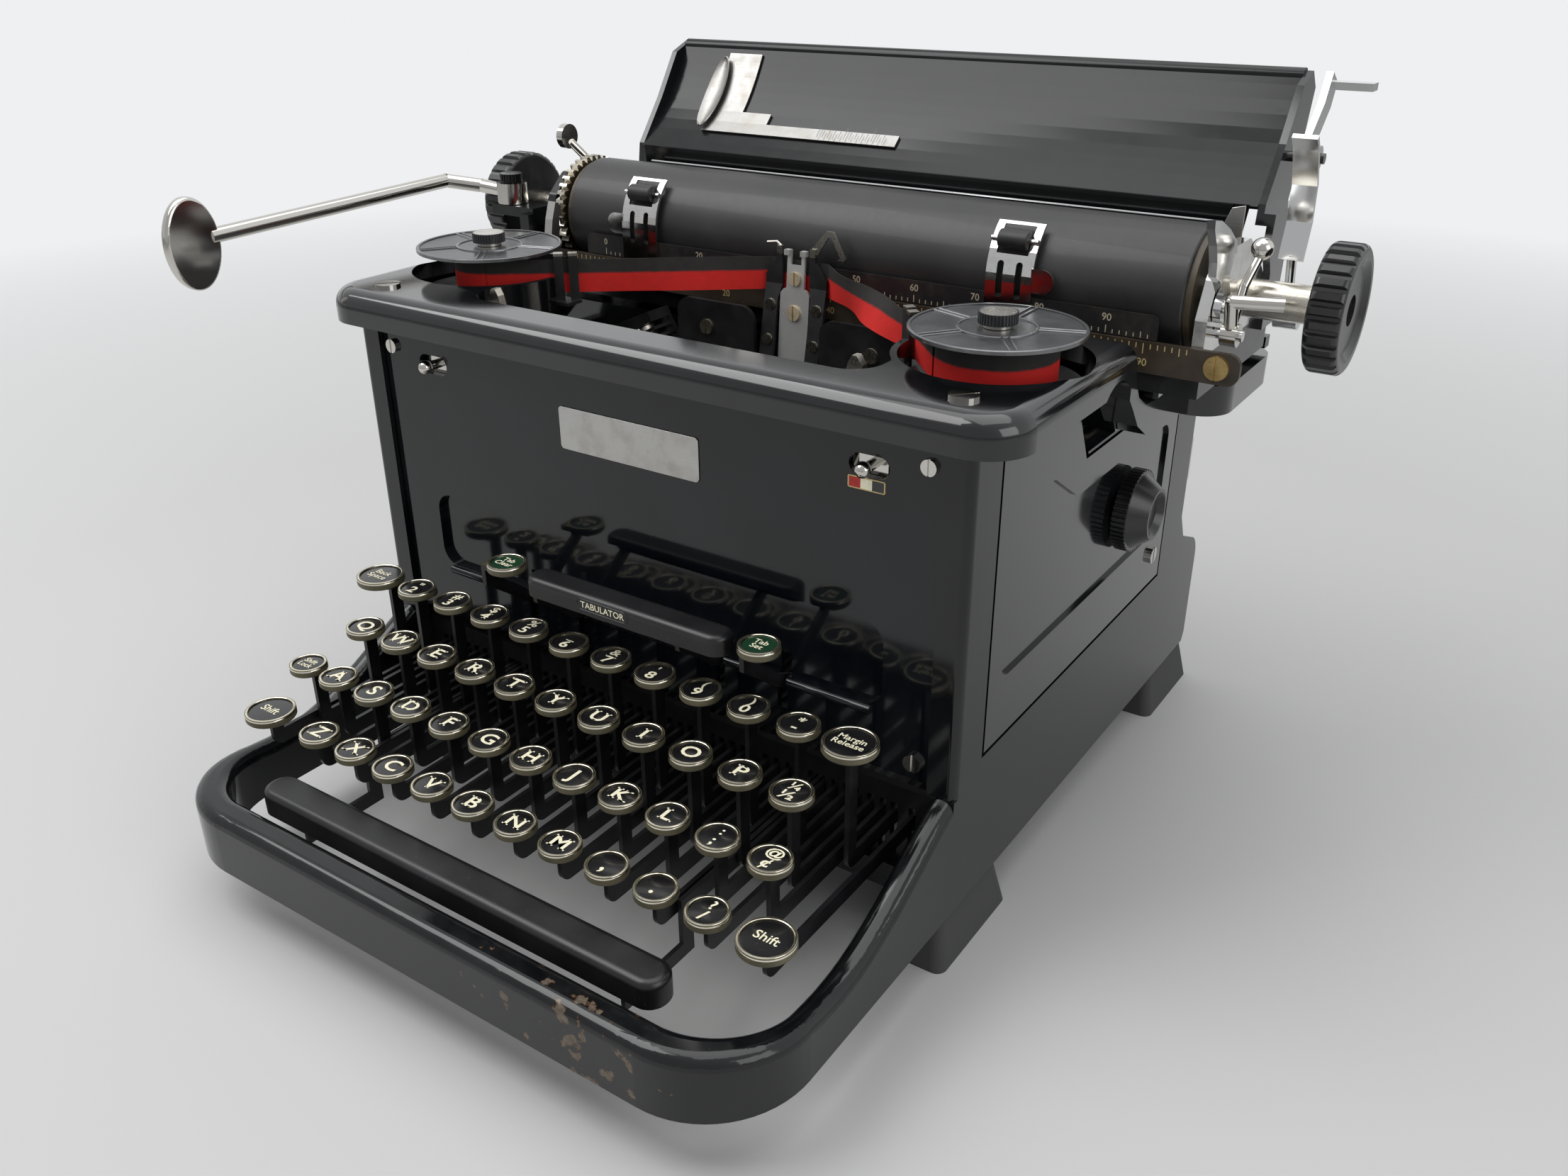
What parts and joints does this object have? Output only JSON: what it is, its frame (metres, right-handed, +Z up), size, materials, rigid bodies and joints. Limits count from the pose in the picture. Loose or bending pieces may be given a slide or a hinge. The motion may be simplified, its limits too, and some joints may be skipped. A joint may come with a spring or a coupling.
{
  "type": "desk typewriter",
  "caption": "Upright type-bar typewriter with ringed keys, a front loop round the keyboard, ribbon spools, a sliding carriage with platen, paper table and a return lever.",
  "frame": {"origin": "on the table, at the centre of the four feet's hold-down bolts", "axes": "+X to the typist's right along the carriage's travel, +Y to the rear, +Z up"},
  "size_m": [0.3779, 0.356, 0.269],
  "materials": {
    "enamel": "gloss black enamel over a casting, worn at the edges",
    "black_sheet": "gloss black enamelled sheet",
    "nickel": "aged nickel plate",
    "chrome": "bright plate with light tarnish",
    "steel": "bare steel, satin",
    "dark_steel": "blackened steel",
    "key_ring": "nickelled brass ring round a dark face, on a black stem",
    "black_plastic": "moulded black, semi-gloss",
    "rubber": "smooth hard rubber",
    "foot_rubber": "matt black rubber",
    "ribbon": "inked woven ribbon, black above red",
    "bronze": "dark bronze with bright graduations"
  },
  "bodies": {
    "frame": {"main_frame": "enamel", "side_panels": "enamel", "front_panel": "black_sheet", "top_cover": "enamel", "carriage_bed": "enamel", "rear_cover": "black_sheet", "rubber_feet": "foot_rubber", "frame_hardware": "nickel", "key_rack": "dark_steel", "bell": "nickel", "ribbon_guides": "steel", "ribbon_span": "ribbon"},
    "number_bank": {"number_row_keys": "key_ring"},
    "upper_bank": {"upper_row_keys": "key_ring"},
    "home_bank": {"home_row_keys": "key_ring"},
    "bottom_bank": {"bottom_row_keys": "key_ring"},
    "typing_key": {"letter_key": "key_ring"},
    "shift": {"shift_keys": "key_ring"},
    "shift_lock": {"shift_lock_key": "key_ring"},
    "backspace": {"backspace_key": "key_ring"},
    "margin_release": {"margin_release_key": "key_ring"},
    "tab_clear": {"tab_clear_key": "key_ring"},
    "tab_set": {"tab_set_key": "key_ring"},
    "space": {"space_bar": "black_plastic"},
    "tabulator": {"tabulator_bar": "black_plastic"},
    "basket": {"type_segment": "dark_steel", "type_bars": "nickel", "type_guide": "chrome"},
    "type_bar": {"active_type_bar": "nickel"},
    "vibrator": {"ribbon_vibrator": "dark_steel"},
    "left_spool": {"spool_left": "dark_steel", "ribbon_left": "ribbon"},
    "right_spool": {"spool_right": "dark_steel", "ribbon_right": "ribbon"},
    "left_stud": {"touch_stud": "nickel"},
    "right_stud": {"color_selector": "nickel"},
    "winding_knob": {"side_knob": "black_plastic"},
    "carriage": {"carriage_frame": "enamel", "paper_scale": "dark_steel", "margin_scale": "bronze", "paper_table": "enamel", "table_brackets": "enamel"},
    "platen": {"platen_rubber": "rubber", "platen_core": "nickel", "platen_knobs": "black_plastic"},
    "stop_left": {"margin_stop_left": "nickel"},
    "stop_right": {"margin_stop_right": "nickel"},
    "finger_left": {"paper_finger_left": "chrome"},
    "finger_right": {"paper_finger_right": "chrome"},
    "side_guide": {"paper_guide": "steel"},
    "paper_bail_arm": {"table_arm": "chrome"},
    "line_lever": {"return_lever": "nickel"},
    "pawl": {"line_space_pawl": "steel"},
    "release_lever_left": {"carriage_release_left": "nickel"},
    "release_lever_right": {"carriage_release_right": "chrome"},
    "ball_lever": {"detent_lever": "nickel"},
    "strap_lever": {"paper_release": "chrome"},
    "feed": {"feed_rollers": "rubber"},
    "drum": {"mainspring_drum": "dark_steel"},
    "escapement": {"escapement_wheel": "steel"}
  },
  "joints": [
    {"name": "number_bank_press", "type": "hinge", "parent": "frame", "child": "number_bank", "pos_m": [0, 0.06, 0.044], "axis": [1, 0, 0], "range_deg": [0, 2.8], "stiffness_Nm_per_rad": 7, "springref_deg": -8.59},
    {"name": "upper_bank_press", "type": "hinge", "parent": "frame", "child": "upper_bank", "pos_m": [0, 0.06, 0.044], "axis": [1, 0, 0], "range_deg": [0, 2.8], "stiffness_Nm_per_rad": 7.5, "springref_deg": -8.59},
    {"name": "home_bank_press", "type": "hinge", "parent": "frame", "child": "home_bank", "pos_m": [0, 0.06, 0.044], "axis": [1, 0, 0], "range_deg": [0, 2.8], "stiffness_Nm_per_rad": 8.5, "springref_deg": -8.59},
    {"name": "bottom_bank_press", "type": "hinge", "parent": "frame", "child": "bottom_bank", "pos_m": [0, 0.06, 0.044], "axis": [1, 0, 0], "range_deg": [0, 2.8], "stiffness_Nm_per_rad": 8.5, "springref_deg": -8.59},
    {"name": "typing_key_press", "type": "hinge", "parent": "frame", "child": "typing_key", "pos_m": [0, 0.06, 0.044], "axis": [1, 0, 0], "range_deg": [0, 2.8], "stiffness_Nm_per_rad": 0.8, "springref_deg": -8.59},
    {"name": "shift_press", "type": "hinge", "parent": "frame", "child": "shift", "pos_m": [0, 0.06, 0.044], "axis": [1, 0, 0], "range_deg": [0, 2.6], "stiffness_Nm_per_rad": 2.2, "springref_deg": -8.59},
    {"name": "shift_lock_press", "type": "hinge", "parent": "shift", "child": "shift_lock", "pos_m": [0, 0.06, 0.044], "axis": [1, 0, 0], "range_deg": [0, 0.4], "stiffness_Nm_per_rad": 0.9, "springref_deg": -8.59},
    {"name": "backspace_press", "type": "hinge", "parent": "frame", "child": "backspace", "pos_m": [0, 0.06, 0.044], "axis": [1, 0, 0], "range_deg": [0, 2.6], "stiffness_Nm_per_rad": 0.9, "springref_deg": -8.59},
    {"name": "margin_release_press", "type": "hinge", "parent": "frame", "child": "margin_release", "pos_m": [0, 0.06, 0.044], "axis": [1, 0, 0], "range_deg": [0, 2.6], "stiffness_Nm_per_rad": 0.9, "springref_deg": -8.59},
    {"name": "space_bar_press", "type": "hinge", "parent": "frame", "child": "space", "pos_m": [0, 0.06, 0.044], "axis": [1, 0, 0], "range_deg": [0, 1.8], "stiffness_Nm_per_rad": 6, "springref_deg": -8.59},
    {"name": "tab_clear_press", "type": "hinge", "parent": "frame", "child": "tab_clear", "pos_m": [0, -0.062, 0.076], "axis": [1, 0, 0], "range_deg": [0, 3.5], "stiffness_Nm_per_rad": 0.25, "springref_deg": -11.46},
    {"name": "tab_set_press", "type": "hinge", "parent": "frame", "child": "tab_set", "pos_m": [0, -0.062, 0.076], "axis": [1, 0, 0], "range_deg": [0, 3.5], "stiffness_Nm_per_rad": 0.25, "springref_deg": -11.46},
    {"name": "tabulator_press", "type": "hinge", "parent": "frame", "child": "tabulator", "pos_m": [0, -0.062, 0.076], "axis": [1, 0, 0], "range_deg": [0, 3.5], "stiffness_Nm_per_rad": 0.8, "springref_deg": -11.46},
    {"name": "basket_shift", "type": "slide", "parent": "frame", "child": "basket", "axis": [0, 0, 1], "range_m": [-0.0066, 0]},
    {"name": "type_bar_swing", "type": "hinge", "parent": "basket", "child": "type_bar", "pos_m": [-0.00199, -0.024, 0.12803], "axis": [-0.9997, 0, 0.0262], "range_deg": [0, 115]},
    {"name": "ribbon_lift", "type": "slide", "parent": "frame", "child": "vibrator", "axis": [0, 0, 1], "range_m": [0, 0.007]},
    {"name": "left_spool_spin", "type": "hinge", "parent": "frame", "child": "left_spool", "pos_m": [-0.1078, -0.0655, 0.19], "axis": [0, 0, 1], "continuous": true},
    {"name": "right_spool_spin", "type": "hinge", "parent": "frame", "child": "right_spool", "pos_m": [0.1078, -0.0655, 0.19], "axis": [0, 0, 1], "continuous": true},
    {"name": "left_stud_slide", "type": "slide", "parent": "frame", "child": "left_stud", "axis": [1, 0, 0], "range_m": [-0.003, 0.003]},
    {"name": "right_stud_slide", "type": "slide", "parent": "frame", "child": "right_stud", "axis": [1, 0, 0], "range_m": [-0.003, 0.003]},
    {"name": "winding_knob_spin", "type": "hinge", "parent": "frame", "child": "winding_knob", "pos_m": [0.128, 0.014, 0.121], "axis": [1, 0, 0], "continuous": true},
    {"name": "carriage_travel", "type": "slide", "parent": "frame", "child": "carriage", "axis": [1, 0, 0], "range_m": [-0.12, 0.09]},
    {"name": "platen_turn", "type": "hinge", "parent": "carriage", "child": "platen", "pos_m": [0, 0.014, 0.2039], "axis": [1, 0, 0], "continuous": true},
    {"name": "left_margin_stop_slide", "type": "slide", "parent": "carriage", "child": "stop_left", "axis": [1, 0, 0], "range_m": [-0.01, 0.09]},
    {"name": "right_margin_stop_slide", "type": "slide", "parent": "carriage", "child": "stop_right", "axis": [1, 0, 0], "range_m": [-0.09, 0.012]},
    {"name": "left_finger_slide", "type": "slide", "parent": "carriage", "child": "finger_left", "axis": [1, 0, 0], "range_m": [-0.025, 0.03]},
    {"name": "right_finger_slide", "type": "slide", "parent": "carriage", "child": "finger_right", "axis": [1, 0, 0], "range_m": [-0.03, 0.025]},
    {"name": "side_guide_slide", "type": "slide", "parent": "carriage", "child": "side_guide", "axis": [1, 0, 0], "range_m": [-0.02, 0.05]},
    {"name": "table_arm_turn", "type": "hinge", "parent": "carriage", "child": "paper_bail_arm", "pos_m": [0.158, 0.062, 0.242], "axis": [1, 0, 0], "range_deg": [-20, 0]},
    {"name": "line_lever_swing", "type": "hinge", "parent": "carriage", "child": "line_lever", "pos_m": [-0.151, -0.008, 0.212], "axis": [0, 0, 1], "range_deg": [0, 28], "stiffness_Nm_per_rad": 0.4, "springref_deg": -11.46},
    {"name": "pawl_swing", "type": "hinge", "parent": "carriage", "child": "pawl", "pos_m": [-0.124, -0.014, 0.1952], "axis": [1, 0, 0], "range_deg": [0, 12], "stiffness_Nm_per_rad": 0.02, "springref_deg": -11.46},
    {"name": "release_left_turn", "type": "hinge", "parent": "carriage", "child": "release_lever_left", "pos_m": [-0.1395, 0.034, 0.207], "axis": [1, 0, 0], "range_deg": [-12, 0]},
    {"name": "release_right_turn", "type": "hinge", "parent": "carriage", "child": "release_lever_right", "pos_m": [0.156, -0.001, 0.203], "axis": [1, 0, 0], "range_deg": [-12, 0]},
    {"name": "ball_lever_turn", "type": "hinge", "parent": "carriage", "child": "ball_lever", "pos_m": [0.1605, -0.002, 0.195], "axis": [1, 0, 0], "range_deg": [0, 14]},
    {"name": "strap_lever_turn", "type": "hinge", "parent": "carriage", "child": "strap_lever", "pos_m": [0.166, 0.042, 0.192], "axis": [1, 0, 0], "range_deg": [-15, 0]},
    {"name": "feed_roller_turn", "type": "hinge", "parent": "carriage", "child": "feed", "pos_m": [0, 0.00294, 0.17905], "axis": [1, 0, 0], "continuous": true},
    {"name": "drum_turn", "type": "hinge", "parent": "frame", "child": "drum", "pos_m": [-0.068, 0.095, 0.128], "axis": [0, 1, 0], "range_deg": [-310, 310]},
    {"name": "escapement_turn", "type": "hinge", "parent": "frame", "child": "escapement", "pos_m": [0, 0.075, 0.16], "axis": [0, 1, 0], "range_deg": [-600, 600]}
  ],
  "couplings": [
    {"joint": "basket_shift", "follows": "shift_press", "m_per_rad": -0.14324},
    {"joint": "typing_key_press", "follows": "type_bar_swing", "ratio": 0.023913},
    {"joint": "feed_roller_turn", "follows": "platen_turn", "ratio": -4.38},
    {"joint": "drum_turn", "follows": "carriage_travel", "rad_per_m": 44.444},
    {"joint": "escapement_turn", "follows": "carriage_travel", "rad_per_m": 84.034}
  ]
}
